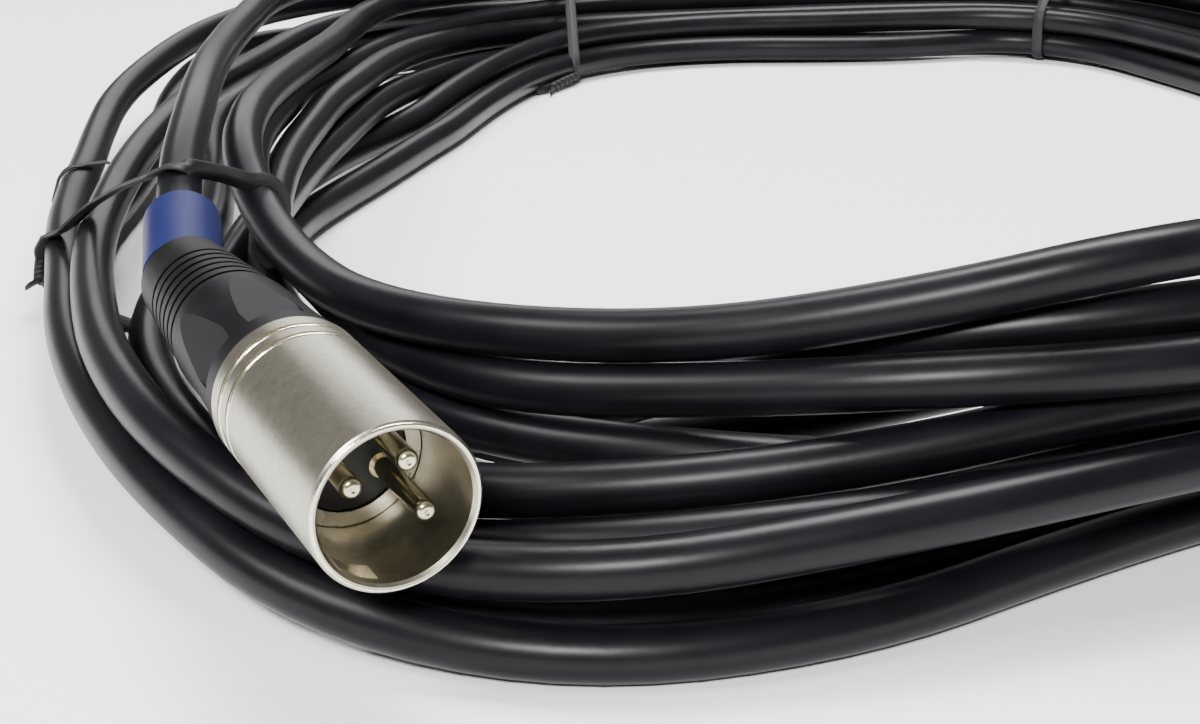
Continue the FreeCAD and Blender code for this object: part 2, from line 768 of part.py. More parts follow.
def tie_channel(middle, across, half_width, height):
    """The part of a slab round the bundle that the tie keeps free of cable."""
    thickness = size("tie_thickness")
    slab_width = size("tie_width") + 0.6
    along = across.normalize()
    normal = along.cross(Vector(0, 0, 1)).normalize()
    reach = half_width + 14.0
    slab = Part.makeBox(2 * reach, slab_width, 80.0)
    corner = middle - along * reach - normal * (slab_width / 2) - Vector(0, 0, 10)
    frame = FreeCAD.Matrix(along.x, normal.x, 0, corner.x,
                           along.y, normal.y, 0, corner.y,
                           0, 0, 1, corner.z, 0, 0, 0, 1)
    slab.transformShape(frame)
    return slab.cut(tie_loop(middle, across, half_width, height, thickness + 0.1, slab_width + 1))


def build_coil():
    solid = coil_loaf()
    for room in connector_room(MALE) + connector_room(FEMALE):
        solid = solid.cut(room)
    for _, middle, across, half_width, height, way in TIES:
        solid = solid.cut(tie_channel(middle, across, half_width, height))
        room = size("tie_tail_radius") + 0.2
        solid = solid.cut(tie_tail(middle, across, half_width, height, way, room))
    solids = sorted(solid.Solids, key=lambda piece: piece.Volume)
    coil = DOC.addObject("Part::Feature", "cable_coil")
    coil.Label = "cable_coil"
    coil.Shape = solids[-1]
    return coil


# ---------------------------------------------------------------- document and files

def check_and_write(pieces):
    DOC.recompute()
    for item in DOC.Objects:
        if "Invalid" in item.State or "Error" in item.State:
            raise RuntimeError("%s is %s" % (item.Label, item.State))
    box = FreeCAD.BoundBox()
    for piece in pieces:
        if piece.Shape.isNull() or not piece.Shape.isValid():
            raise RuntimeError("%s has no valid shape" % piece.Label)
        box.add(piece.Shape.BoundBox)
        piece.Shape.exportStep("parts/%s.step" % piece.Label)
    print("%d pieces, %s" % (len(pieces), box))


def main():
    fill_sheet()
    pieces = build_male() + build_female()
    pieces.append(bent_tube("male_tail", MALE.route(), size("jacket_radius")))
    pieces.append(bent_tube("female_tail", FEMALE.route(), size("jacket_radius")))
    pieces.append(build_coil())
    pieces += [build_tie(*tie) for tie in TIES]
    check_and_write(pieces)


main()
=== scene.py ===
"""Looks for the XLR cable coil: one long cable wound loosely, two connectors and four twist ties."""
import json
import math
from collections import namedtuple

import bmesh
import bpy
import numpy as np
from mathutils import Matrix, Vector


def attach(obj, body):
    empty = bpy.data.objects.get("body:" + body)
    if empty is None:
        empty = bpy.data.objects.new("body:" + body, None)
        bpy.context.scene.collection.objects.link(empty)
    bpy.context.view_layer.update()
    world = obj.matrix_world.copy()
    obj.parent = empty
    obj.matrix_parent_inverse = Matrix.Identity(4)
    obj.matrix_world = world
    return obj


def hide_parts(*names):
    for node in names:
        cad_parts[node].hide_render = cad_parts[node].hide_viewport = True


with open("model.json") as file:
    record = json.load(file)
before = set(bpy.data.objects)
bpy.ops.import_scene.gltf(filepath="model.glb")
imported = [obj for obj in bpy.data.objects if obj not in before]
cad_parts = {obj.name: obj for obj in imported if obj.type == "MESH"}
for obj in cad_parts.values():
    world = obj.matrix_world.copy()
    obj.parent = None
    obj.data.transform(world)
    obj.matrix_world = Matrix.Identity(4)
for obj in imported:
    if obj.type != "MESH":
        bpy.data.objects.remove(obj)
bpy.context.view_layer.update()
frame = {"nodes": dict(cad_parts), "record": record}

MM = 0.001
CABLE_RADIUS = 3.25
SCENE = bpy.context.scene


# ------------------------------------------------------------------ camera

def make_camera():
    data = bpy.data.cameras.new("camera")
    data.lens = 55.5
    data.sensor_width = 36.0
    data.clip_start = 0.01
    camera = bpy.data.objects.new("camera", data)
    camera.location = (-0.047, -0.357, 0.101)
    camera.rotation_euler = (math.radians(69.4), 0.0, 0.0)
    SCENE.collection.objects.link(camera)
    SCENE.camera = camera


make_camera()


# ------------------------------------------------------------------ where the connectors lie

class ConnectorPose:
    """Millimetres.  The connector's own Z runs from its mouth back to its cable, and its
    own +Y is the side of the latch."""

    def __init__(self, mouth, heading, rise, roll, way_in):
        turn = Matrix.Rotation(math.radians(heading), 4, "Z")
        tilt = Matrix.Rotation(math.radians(rise - 90.0), 4, "X")
        spin = Matrix.Rotation(math.radians(roll), 4, "Z")
        self.matrix = Matrix.Translation(mouth) @ turn @ tilt @ spin
        self.way_in = Vector(way_in)

    def point(self, across, up, back):
        return self.matrix @ Vector((across, up, back))

    def on_axis(self, station):
        return self.point(0.0, 0.0, station)


MALE = ConnectorPose((-67.1, -190.0, 22.6), 27.6, 1.8, 28.0, (-109.2, -92.0, 31.0))
FEMALE = ConnectorPose((117.0, -57.0, 31.5), -10.5, -4.0, 180.0, (135.0, 46.0, 20.0))


# ------------------------------------------------------------------ the cable's lay
#
# The cable starts at the male connector and is wound clockwise, seen from above.  Every
# strand is given as (angle, distance from the coil's middle, height), with the
# angle in degrees from +X, falling as the cable goes round: 22 is the right side, -90 the
# front, -180 the left side and -270 the back.

FIRST_STRAND = [
    (-147.5, 132, 34), (-152, 127.5, 35), (-164, 120.5, 35), (-173, 118.5, 34),
    (-187, 120.5, 33), (-202, 130, 32.5), (-215, 142, 31), (-225, 150, 30), (-231, 153.5, 29.3),
    (-247, 161, 27.5), (-270, 170, 24), (-282, 176, 22.5), (-292, 181, 22), (-300, 179, 21),
    (-315, 164, 20),
]

STRANDS = [
    # top strand at the front, over the fan on the left
    [(22, 134, 15), (0, 121, 15), (-22, 121, 15), (-45, 126, 18), (-60, 139, 29.5),
     (-70, 150, 36.3), (-79, 155.5, 39.3), (-87, 162, 39.6), (-91, 161.5, 36.4), (-95, 160, 31.8),
     (-99, 160, 29.3), (-105, 160, 26.6), (-112, 158.5, 24.6), (-118, 154.5, 22.8),
     (-124, 147, 21.3), (-130, 139.5, 20.8), (-138, 131.5, 22.8), (-145, 126.5, 26),
     (-152, 120, 28.5), (-160, 114, 29), (-170, 108, 28.5), (-180, 105.5, 27.5),
     (-190, 107, 26), (-205, 115, 24), (-217, 131, 22.5), (-231, 151, 21.8), (-240, 155.5, 20.8),
     (-247, 158.5, 20.3), (-258, 164, 19.3), (-270, 172, 17.9), (-282, 180.5, 17),
     (-292, 188.5, 17), (-300, 186.5, 16.5), (-315, 172, 14.5)],
    # second strand at the front
    [(30, 156.5, 9.8), (22, 151.5, 9), (0, 138.5, 9), (-22, 136.5, 9), (-45, 142, 10.5),
     (-60, 152, 21.5), (-70, 158.5, 25.5), (-79, 163, 28.7), (-87, 165.5, 27.5),
     (-91, 166, 27), (-95, 165, 25.8), (-98.5, 162, 24), (-105, 161, 21), (-111, 160, 18.8),
     (-118, 153, 16.8), (-128, 136.5, 15.8), (-135, 131, 16.3), (-145, 124.5, 19.5),
     (-152, 120, 21.7), (-163, 113, 22.5), (-175, 108, 22), (-190, 109, 20), (-206, 115, 17.7),
     (-218, 127.5, 15.5), (-231, 142.5, 14), (-247, 156.5, 14), (-270, 165, 13.5), (-282, 172, 13.5),
     (-292, 180.5, 13.5), (-300, 178.5, 13), (-315, 164, 12.5)],
    # comes out between the first two at the right
    [(30, 149.5, 9.8), (22, 144, 9.3), (0, 131, 9.3), (-22, 129, 9.5), (-45, 134, 12),
     (-60, 146.5, 28), (-70, 154, 31.7), (-79, 158, 33.5), (-87, 159.5, 31.5),
     (-92, 158, 29.5), (-98, 153, 25.5), (-104, 151, 19.5), (-112, 150, 10.5), (-120, 149, 4),
     (-130, 142, 3.3), (-140, 134.5, 3.3), (-150, 127, 3.3), (-160, 118, 4.5),
     (-170, 110.5, 6.5), (-180, 105, 7.3), (-190, 102.5, 6.8), (-206, 102, 6.5),
     (-222, 111.5, 7.4), (-234, 125, 8.3), (-247, 139.5, 10), (-262, 147, 10), (-278, 150, 10),
     (-288, 161, 10.5), (-298, 169, 10.5), (-306, 161, 10), (-315, 151, 9.5)],
    # the one below it, innermost on the left
    [(22, 128.5, 9), (0, 115.5, 9), (-22, 113.5, 9), (-45, 120, 10), (-60, 134.5, 20.5),
     (-70, 145, 24), (-79, 151.5, 26), (-84, 152, 25), (-88, 152, 23.5), (-93, 151, 19.5),
     (-100, 149, 13.5), (-108, 147, 6), (-116, 144, 3.3), (-130, 135, 3.3), (-147, 122, 3.3),
     (-157, 114, 3.3), (-166, 107.5, 3.3), (-173, 101.5, 3.3), (-183, 95, 3.3),
     (-195, 92.3, 3.3), (-206, 93, 3.3), (-222, 102.5, 3.3), (-234, 117, 3.3), (-243, 129.5, 3.5),
     (-251, 137.5, 4), (-262, 143, 4), (-278, 144, 4), (-284, 150, 4), (-289, 161, 4.3),
     (-294, 168, 4.5), (-299, 168, 4.3), (-306, 158, 3.6), (-315, 147, 3.3)],
    # in the shade below the second strand
    [(22, 125, 3.3), (0, 112, 3.3), (-22, 110, 3.3), (-45, 116, 3.5), (-60, 134, 11),
     (-70, 144, 12.6), (-79, 151.5, 14.4), (-85, 153, 14.2), (-90, 156.5, 13.8), (-94, 160, 13.6),
     (-98, 161.5, 13.7), (-104, 160, 13.5), (-112, 157, 12), (-120, 150.5, 11),
     (-128, 141, 10.5), (-135, 135.5, 10.8),
     (-145, 123.5, 14), (-150, 118.5, 16.5), (-160, 110.5, 17.8), (-170, 105, 18),
     (-180, 102.2, 18.2), (-192, 102.2, 18), (-200, 104.5, 17.5), (-213, 113, 16.5),
     (-226, 127, 14.3), (-234, 138, 12), (-244, 149.5, 10.3), (-270, 157, 9), (-282, 165, 9),
     (-292, 173.5, 9), (-300, 172, 9), (-315, 158, 8.5)],
    # middle of the front
    [(22, 136.5, 9), (0, 123.5, 9), (-22, 121.5, 9), (-45, 127.5, 9.5), (-60, 145, 17),
     (-70, 153, 21), (-79, 160.5, 23), (-84, 161.5, 22.5), (-88, 163.5, 21), (-91, 165.5, 20),
     (-95, 167.5, 17.6), (-98.5, 169.5, 15.8), (-104, 173, 14.2), (-110, 176, 12),
     (-118, 172, 9.8), (-128, 159, 9.8), (-140, 138, 10), (-147, 125.5, 10.7),
     (-153, 116, 11.8), (-160, 109.5, 12.3), (-169, 104, 12.3), (-178, 100.8, 12),
     (-188, 99.5, 11.8), (-204, 103.7, 11.3), (-219, 114, 9), (-230, 126, 7.2),
     (-247, 145, 4), (-262, 150.5, 3.8), (-278, 153, 3.5), (-292, 173, 3.4), (-300, 173.5, 3.3),
     (-315, 154, 3.3)],
    # low one behind the broad strand at the front, on the ground on the left
    [(22, 132, 3.3), (0, 119, 3.3), (-22, 117, 3.3), (-45, 123, 3.4), (-52, 131, 5.5),
     (-56, 137, 9), (-60, 142.5, 10.5), (-70, 149.5, 12.6), (-79, 157.5, 13.8),
     (-88, 165, 14.1), (-91, 168, 14.2), (-96, 172.5, 12.6), (-104, 177.5, 9.7),
     (-110, 178, 7), (-116, 175.5, 3.5),
     (-125, 166.5, 3.3), (-135, 156, 3.3), (-147, 142, 3.3), (-155, 131, 3.3), (-164, 122, 3.3),
     (-172, 121, 3.3), (-180, 123, 3.3), (-188, 127.5, 3.3), (-196, 137, 3.3),
     (-203, 147, 3.3), (-211, 158, 3.3),
     (-219, 163, 3.3), (-230, 163, 3.3), (-247, 157, 3.3), (-270, 161, 3.3),
     (-282, 170, 3.3), (-292, 180, 3.3), (-300, 180, 3.3), (-315, 162, 3.3)],
    # broad strand across the lower front, third from outside on the left
    [(22, 140, 3.3), (0, 127, 3.3), (-22, 125, 3.3), (-45, 131, 5), (-52, 140, 10.3),
     (-60, 152, 12.8), (-70, 158, 16), (-79, 165, 18), (-87, 170, 17), (-91, 175, 16),
     (-95, 178.5, 15.5), (-99.5, 186, 15), (-103, 189.5, 13.5), (-106, 190.5, 12.5),
     (-108.5, 191, 11.5), (-111, 192, 11), (-115, 190.5, 11.8), (-117.5, 188.5, 13),
     (-119.5, 187, 14.5), (-123, 183.5, 15.5), (-128, 176.5, 15.5), (-133, 168.3, 15.2),
     (-140, 158.6, 14.8), (-149, 149, 14.8), (-160, 139.5, 16), (-170, 134, 17.5),
     (-181, 131.5, 18), (-190, 132, 17.5), (-200, 136, 16.5), (-212, 148, 14.5),
     (-225, 168, 13.5), (-235, 180, 12), (-247, 181, 10), (-258, 175.5, 10), (-270, 171, 7),
     (-282, 178, 4), (-292, 187, 3.3), (-300, 187, 3.3), (-315, 170, 3.3)],
    # ground strand just inside the outermost one, outermost on the left
    [(22, 148, 3.3), (0, 135, 3.3), (-22, 133, 3.3), (-45, 137.5, 3.3), (-60, 139, 3.3),
     (-70, 140.5, 3.3), (-79, 145, 3.3), (-90, 158, 3.3), (-96, 168, 3.3), (-100, 174, 3.3),
     (-103, 179.5, 3.3), (-108, 185, 3.3), (-112, 186, 3.3), (-116, 184.5, 3.3),
     (-119.5, 181, 3.3), (-122.5, 178.5, 3.3), (-128, 171, 3.3), (-133.5, 165, 3.3),
     (-146, 154.5, 3.3), (-164, 144.5, 3.3), (-180, 139.5, 3.5), (-190, 143.5, 4.5),
     (-198, 151, 6.5), (-205, 161, 8), (-212, 171, 9.3), (-219, 180, 9.8), (-227, 184.5, 8.3),
     (-236, 181, 5),
     (-247, 176, 3.3), (-258, 175, 3.3), (-270, 178, 3.3), (-282, 185, 3.3), (-292, 193.5, 3.3),
     (-300, 193.5, 3.3), (-315, 179, 3.3)],
    # outermost ground strand at the front, second from outside on the left
    [(22, 157, 3.3), (0, 144, 3.3), (-22, 142, 3.3), (-45, 145, 3.3), (-60, 146.5, 3.3),
     (-70, 147.5, 3.3), (-79, 151.5, 3.3), (-85.5, 159, 3.3), (-88.5, 164, 3.3),
     (-92.5, 172, 3.3), (-95.5, 179.5, 3.3), (-99, 186.3, 3.3), (-103, 191.3, 3.3),
     (-107.5, 194.3, 3.3), (-110.5, 195.3, 4), (-113, 194.2, 5.5), (-115, 192.3, 7),
     (-118.5, 188.4, 9), (-121, 185, 9.8), (-125.5, 179.8, 9.8), (-131, 171.8, 9.8),
     (-139, 162.8, 9.8), (-147, 153.5, 9.8), (-158, 148, 9.8), (-173, 145.5, 9.8),
     (-184, 149.5, 10.5), (-194, 157, 12.5), (-204, 164, 15), (-214, 173, 17.3),
     (-225, 181, 18), (-235, 184, 17.5), (-247, 184, 16), (-258, 182, 12.5),
     (-270, 180, 10.2), (-282, 185, 10), (-292, 193, 10), (-300, 192, 10.5), (-315, 179, 11)],
]

LAST_POINTS = [(-330, 160.5, 17)]
STEP = 9.0

# Stations on a connector's axis that its end of the cable goes through, from inside outwards.
CABLE_STATIONS = (45.0, 62.0, 78.0)

# What the cable keeps clear of on a connector: first station, last station, radius.
CONNECTOR_RODS = ((0.0, 50.0, 9.5), (52.0, 73.0, 8.2))

# How the cable settles.  The gaps are millimetres of air left between surfaces.
STRAND_GAP = 0.05
CONNECTOR_GAP = 0.1
# Which samples may touch: those this near, but not neighbours, looked up every few rounds.
PAIR_REACH = 20.0
PAIR_SKIP = 10
PAIRS_EVERY = 10
# The ends stay in their connectors: samples that ignore them, and points that never move.
END_SAMPLES = 14
END_POINTS = 4
# The share of each push that is taken, and the pull back to where the strand was laid.  The
# pull is off in the last FREE_ROUNDS, and the evening out is weaker in the last GENTLE_ROUNDS.
PUSH_SHARE = 0.42
HOLD = 0.03
FREE_ROUNDS = 60
GENTLE_ROUNDS = 40


def smooth_between(knots, at):
    """A smooth curve through the given (position, value) knots, without overshoot."""
    x, y = np.array(knots, float).T
    gap = np.diff(x)
    slope = np.diff(y) / gap
    tangent = np.zeros(len(x))
    tangent[0] = slope[0]
    tangent[-1] = slope[-1]
    for i in range(1, len(x) - 1):
        if slope[i - 1] * slope[i] > 0:
            near = 2 * gap[i] + gap[i - 1]
            far = gap[i] + 2 * gap[i - 1]
            tangent[i] = (near + far) / (near / slope[i - 1] + far / slope[i])
    cell = np.clip(np.searchsorted(x, at) - 1, 0, len(x) - 2)
    t = (at - x[cell]) / gap[cell]
    h = gap[cell]
    return ((1 + 2 * t) * (1 - t) ** 2 * y[cell] + t * (1 - t) ** 2 * h * tangent[cell]
            + t * t * (3 - 2 * t) * y[cell + 1] + t * t * (t - 1) * h * tangent[cell + 1])


def wound_points():
    """The cable's points before it settles: each turn follows its strand by equal steps."""
    travel = [(-angle, reach, height) for angle, reach, height in FIRST_STRAND]
    for turn, strand in enumerate(STRANDS, start=1):
        travel += [(-angle + 360 * turn, reach, height) for angle, reach, height in strand]
    last = len(STRANDS)
    travel += [(-angle + 360 * last, reach, height) for angle, reach, height in LAST_POINTS]
    start = travel[0][0]
    end = travel[-1][0]
    count = int(round((end - start) / STEP))
    at = np.linspace(start, end, count + 1)
    reach = smooth_between([(t, r) for t, r, _ in travel], at)
    height = smooth_between([(t, z) for t, _, z in travel], at)
    angle = np.radians(-at)
    coil = np.stack([reach * np.cos(angle), reach * np.sin(angle), height], axis=1)
    head = [MALE.on_axis(station) for station in CABLE_STATIONS] + [MALE.way_in]
    tail = [FEMALE.way_in] + [FEMALE.on_axis(station) for station in reversed(CABLE_STATIONS)]
    return np.vstack([np.array(head), coil, np.array(tail)])


def samples_of(points):
    """Points on the smooth line: one by each control point and one half way to the next."""
    by = points.copy()
    by[1:-1] = (points[:-2] + 6 * points[1:-1] + points[2:]) / 8
    out = np.empty((2 * len(points) - 1, 3))
    out[0::2] = by
    out[1::2] = (points[:-1] + points[1:]) / 2
    return out


def push_from_samples(moves):
    """Share the moves of the samples out among the control points."""
    push = moves[0::2].copy()
    push[:-1] += 0.5 * moves[1::2]
    push[1:] += 0.5 * moves[1::2]
    return push


# Every tie: middle of the bundle it holds, the way across the bundle, how far it reaches to
# either side, where on the loop its twisted ends start, and the way they point.
Tie = namedtuple("Tie", "middle across reach root_way end_way")
TIES = {
    "tie_left": Tie((-118.0, -76.0), (0.74, -0.67), (-42.0, 52.0), (-1.0, -0.1),
                    (0.1, -0.8, -0.5)),
    "tie_back_left": Tie((-56.0, 146.0), (-0.08, 1.0), (-40.0, 40.0), (-1.0, -0.6),
                         (-0.5, -0.86, 0.0)),
    "tie_back_right": Tie((80.0, 160.0), (-0.47, -0.88), (-40.0, 40.0), (-1.0, 0.2),
                          (0.9, -0.4, -0.1)),
    "tie_right": Tie((134.5, 48.0), (0.93, 0.36), (-34.0, 34.0), (1.0, 0.3),
                     (0.3, 0.9, -0.2)),
}
# How far the strip's middle line stands off what it lies on, and how the cable rises over a
# tie on the table: how far past the tie's ends, and over what length to either side of it.
TIE_BACK = 0.55
TIE_MARGIN = 6
TIE_SLOPE = 13.0


def table_height(line):
    """Height of the cable's underside support: the table, and the ties lying on it."""
    rise = np.zeros(len(line))
    for tie in TIES.values():
        across = np.array(tie.across) / math.hypot(*tie.across)
        off = line[:, :2] - np.array(tie.middle)
        beside = off[:, 0] * across[1] - off[:, 1] * across[0]
        along = off @ across
        inside = (along > tie.reach[0] - TIE_MARGIN) & (along < tie.reach[1] + TIE_MARGIN)
        rise = np.maximum(rise, np.where(inside, np.exp(-(beside / TIE_SLOPE) ** 2), 0.0))
    return 2 * TIE_BACK * rise


def near_pairs(line, reach, skip):
    """Samples and pieces of the line close enough to touch soon, leaving out neighbours."""
    middle = (line[:-1] + line[1:]) / 2
    apart = ((line[:, None, :] - middle[None, :, :]) ** 2).sum(2)
    index = np.arange(len(line))[:, None] - np.arange(len(middle))[None]
    return np.nonzero((apart < reach * reach) & (np.abs(index) >= skip))


def strand_moves(line, pairs, gap):
    """How far each sample has to move so that strands no longer overlap."""
    sample, piece = pairs
    start = line[piece]
    along = line[piece + 1] - start
    t = np.clip(((line[sample] - start) * along).sum(1) / (along ** 2).sum(1), 0, 1)
    apart = line[sample] - (start + t[:, None] * along)
    distance = np.sqrt((apart ** 2).sum(1)) + 1e-9
    push = apart / distance[:, None] * np.maximum(gap - distance, 0.0)[:, None] * 0.5
    moves = np.zeros_like(line)
    np.add.at(moves, sample, push)
    np.add.at(moves, piece, -push * (1 - t)[:, None])
    np.add.at(moves, piece + 1, -push * t[:, None])
    return moves


def rod_contacts(line, start, end, radius):
    """Push samples out of a straight round piece."""
    axis = end - start
    t = np.clip(((line - start) @ axis) / (axis @ axis), 0, 1)
    apart = line - (start + t[:, None] * axis)
    distance = np.sqrt((apart ** 2).sum(1)) + 1e-9
    return apart / distance[:, None] * np.maximum(radius - distance, 0.0)[:, None]


def settled(points, rounds=300):
    """Let the wound cable settle: strands push one another apart and keep clear of the
    connectors and the table, while each keeps close to the way it was laid."""
    home = points.copy()
    rods = [(np.array(pose.on_axis(first)), np.array(pose.on_axis(last)), radius)
            for pose in (MALE, FEMALE) for first, last, radius in CONNECTOR_RODS]
    pairs = None
    for step in range(rounds):
        line = samples_of(points)
        if step % PAIRS_EVERY == 0:
            pairs = near_pairs(line, PAIR_REACH, PAIR_SKIP)
        moves = strand_moves(line, pairs, 2 * CABLE_RADIUS + STRAND_GAP)
        for start, end, radius in rods:
            away = rod_contacts(line, start, end, radius + CABLE_RADIUS + CONNECTOR_GAP)
            away[:END_SAMPLES] = 0
            away[-END_SAMPLES:] = 0
            moves += away
        moves[:, 2] += np.maximum(CABLE_RADIUS + table_height(line) - line[:, 2], 0.0)
        points = points + PUSH_SHARE * push_from_samples(moves)
        drift = points - home
        even = drift.copy()
        even[1:-1] = 0.25 * drift[:-2] + 0.5 * drift[1:-1] + 0.25 * drift[2:]
        hold = HOLD if step < rounds - FREE_ROUNDS else 0.0
        blend = 0.5 if step < rounds - GENTLE_ROUNDS else 0.2
        drift = ((1 - blend) * drift + blend * even) * (1 - hold)
        drift[:END_POINTS] = 0.0
        drift[-END_POINTS:] = 0.0
        points = home + drift
    return points


def cable_curve(points):
    data = bpy.data.curves.new("cable", "CURVE")
    data.dimensions = "3D"
    spline = data.splines.new("NURBS")
    spline.points.add(len(points) - 1)
    for point, place in zip(spline.points, points):
        point.co = (*(place * MM), 1.0)
        point.radius = CABLE_RADIUS * MM
    spline.order_u = 3
    spline.use_endpoint_u = True
    spline.resolution_u = 6
    data.bevel_depth = 1.0
    data.bevel_resolution = 7
    data.use_fill_caps = True
    cable = bpy.data.objects.new("cable", data)
    SCENE.collection.objects.link(cable)
    return cable


LAY = settled(wound_points())
cable = cable_curve(LAY)
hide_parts("cable_coil", "male_tail", "female_tail")
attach(cable, "root")


# ------------------------------------------------------------------ twist ties

def fine_line(points, parts=6):
    """Many points on the settled cable's smooth line."""
    out = []
    for before, here, after in zip(points[:-2], points[1:-1], points[2:]):
        start = (before + here) / 2
        end = (here + after) / 2
        for i in range(parts):
            t = i / parts
            out.append((1 - t) ** 2 * start + 2 * t * (1 - t) * here + t * t * end)
    return np.array(out)


def strands_through(line, middle, across, reach):
    """Where the cable passes through a tie: (distance across, height, half width)."""
    off = line[:, :2] - middle
    beside = off[:, 0] * across[1] - off[:, 1] * across[0]
    found = []
    for i in np.nonzero(beside[:-1] * beside[1:] < 0)[0]:
        t = beside[i] / (beside[i] - beside[i + 1])
        place = line[i] + t * (line[i + 1] - line[i])
        along = float((place[:2] - middle) @ across)
        if reach[0] < along < reach[1]:
            way = line[i + 1] - line[i]
            slant = abs(way[0] * across[1] - way[1] * across[0]) / np.linalg.norm(way)
            found.append((along, place[2], CABLE_RADIUS / max(slant, 0.8)))
    return found


def even_ring(corners, count):
    """The closed line through the corners, as evenly spaced points."""
    ring = np.vstack([corners, corners[:1]])
    steps = np.sqrt((np.diff(ring, axis=0) ** 2).sum(1))
    far = np.concatenate([[0], np.cumsum(steps)])
    at = np.linspace(0, far[-1], count + 1)[:-1]
    return np.stack([np.interp(at, far, column) for column in ring.T], axis=1)


def eased(loop):
    """The closed line with its corners rounded a little."""
    return 0.5 * loop + 0.25 * (np.roll(loop, 1, axis=0) + np.roll(loop, -1, axis=0))


def taut_loop(circles, gap):
    """The closed line a strip takes when it is pulled tight round a bundle."""
    points = []
    for across, height, half in circles:
        for i in range(CIRCLE_POINTS):
            angle = 2 * math.pi * i / CIRCLE_POINTS
            points.append((across + (half + gap) * math.cos(angle),
                           max(height + (CABLE_RADIUS + gap) * math.sin(angle), TIE_BACK)))
    points.sort()

    def half_hull(row):
        hull = []
        for p in row:
            while len(hull) > 1 and ((hull[-1][0] - hull[-2][0]) * (p[1] - hull[-2][1])
                                     <= (hull[-1][1] - hull[-2][1]) * (p[0] - hull[-2][0])):
                hull.pop()
            hull.append(p)
        return hull

    hull = half_hull(points)[:-1] + half_hull(points[::-1])[:-1]
    return eased(eased(even_ring(np.array(hull), TAUT_POINTS)))


# The left tie goes its own way over the fan of strands, so its turns are given point by point:
# the thick one round the bundle, and a thin one round the outermost strands.
LEFT_TURN = [(-140.2, -61, 8), (-138, -64, 13), (-133, -71, 16.3), (-128.6, -71, 20.3),
             (-120, -82, 26.5), (-112, -94, 31.5), (-107.5, -98.5, 33.4), (-104, -94, 32),
             (-101.2, -89, 29.7), (-98.7, -86.5, 27.3), (-96.5, -85.5, 22), (-96.5, -87, 8),
             (-99, -91, 0.6), (-118, -77, 0.6), (-136.5, -61, 0.6), (-140.4, -60, 4)]
LEFT_THIN_TURN = [(-148.6, -25, 8), (-147, -25, 12.6), (-143.6, -21, 14), (-140.8, -13, 12.5),
                  (-140, -9, 8), (-141.5, -10, 4.5), (-146, -17, 4), (-149, -22, 5)]
CIRCLE_POINTS = 32
TAUT_POINTS = 180
LAID_POINTS = 220
LAID_REACH = 60
THIN_SCALE = 0.55
THIN_ACROSS = (0.9, 0.45)
LEFT_END_LENGTH = 6.0
END_LENGTH = 16.0
END_SCALE = 0.72
END_FLOOR = 1.1

# Half the strip's section as (across the strip, thickness): flat wings and a wire in the middle.
STRIP = [(1.4, 0.12), (1.3, 0.24), (0.75, 0.26), (0.42, 0.42), (0.0, 0.5), (-0.42, 0.42),
         (-0.75, 0.26), (-1.3, 0.24), (-1.4, 0.12)]


def strip_section():
    return STRIP + [(a, -b) for a, b in reversed(STRIP)]


def sweep(bm, places, sides, ups, scale, closed):
    """Sweep the strip's section along a line, with its sideways and upward ways given."""
    section = strip_section()
    rings = []
    for place, side, up in zip(places, sides, ups):
        rings.append([bm.verts.new((place + side * a * scale + up * b * scale) * MM)
                      for a, b in section])
    count = len(section)
    last = len(rings) if closed else len(rings) - 1
    for i in range(last):
        one, two = rings[i], rings[(i + 1) % len(rings)]
        for j in range(count):
            k = (j + 1) % count
            bm.faces.new((one[j], one[k], two[k], two[j]))
    if not closed:
        bm.faces.new(rings[0][::-1])
        bm.faces.new(rings[-1])


def twisted_end(bm, root, way, side, length, phase):
    """One of the two strips twisted round each other, with a slightly parted tip."""
    way = way.normalized()
    side = (side - way * side.dot(way)).normalized()
    other = way.cross(side)
    places, sides, ups = [], [], []
    steps = 60
    turns = 3.0
    tip = 0.8
    for i in range(steps + 1):
        t = i / steps
        angle = phase + 2 * math.pi * turns * min(t, tip) / tip
        apart = 0.55 + 1.6 * max(t - tip, 0.0) / (1.0 - tip)
        out = side * math.cos(angle) + other * math.sin(angle)
        droop = Vector((0, 0, -1.2 * t * t))
        place = root + way * (length * t - 0.8) + out * apart + droop
        place.z = max(place.z, END_FLOOR)
        places.append(place)
        sides.append((side * -math.sin(angle) + other * math.cos(angle)))
        ups.append(out)
    sweep(bm, places, sides, ups, END_SCALE, False)


def strip_loop(bm, spec, line):
    """One turn of the strip round the bundle.  Returns its outermost place on the root side."""
    across = np.array(spec.across) / math.hypot(*spec.across)
    middle = np.array(spec.middle)
    loop = taut_loop(strands_through(line, middle, across, spec.reach), TIE_BACK)
    flat = Vector((across[1], -across[0], 0.0))
    right = Vector((across[0], across[1], 0.0))
    origin = Vector((*spec.middle, 0.0))
    turn = np.roll(loop, -1, axis=0) - np.roll(loop, 1, axis=0)
    places, sides, ups = [], [], []
    for (along, height), (du, dz) in zip(loop, turn):
        size = math.hypot(du, dz)
        places.append(origin + right * along + Vector((0, 0, height)))
        ups.append((right * dz - Vector((0, 0, du))) / size)
        sides.append(flat)
    sweep(bm, places, sides, ups, 1.0, True)
    goal = np.array(spec.root_way) / math.hypot(*spec.root_way)
    best = int(np.argmax((loop - loop.mean(0)) @ goal))
    return places[best] + ups[best] * 1.5, flat


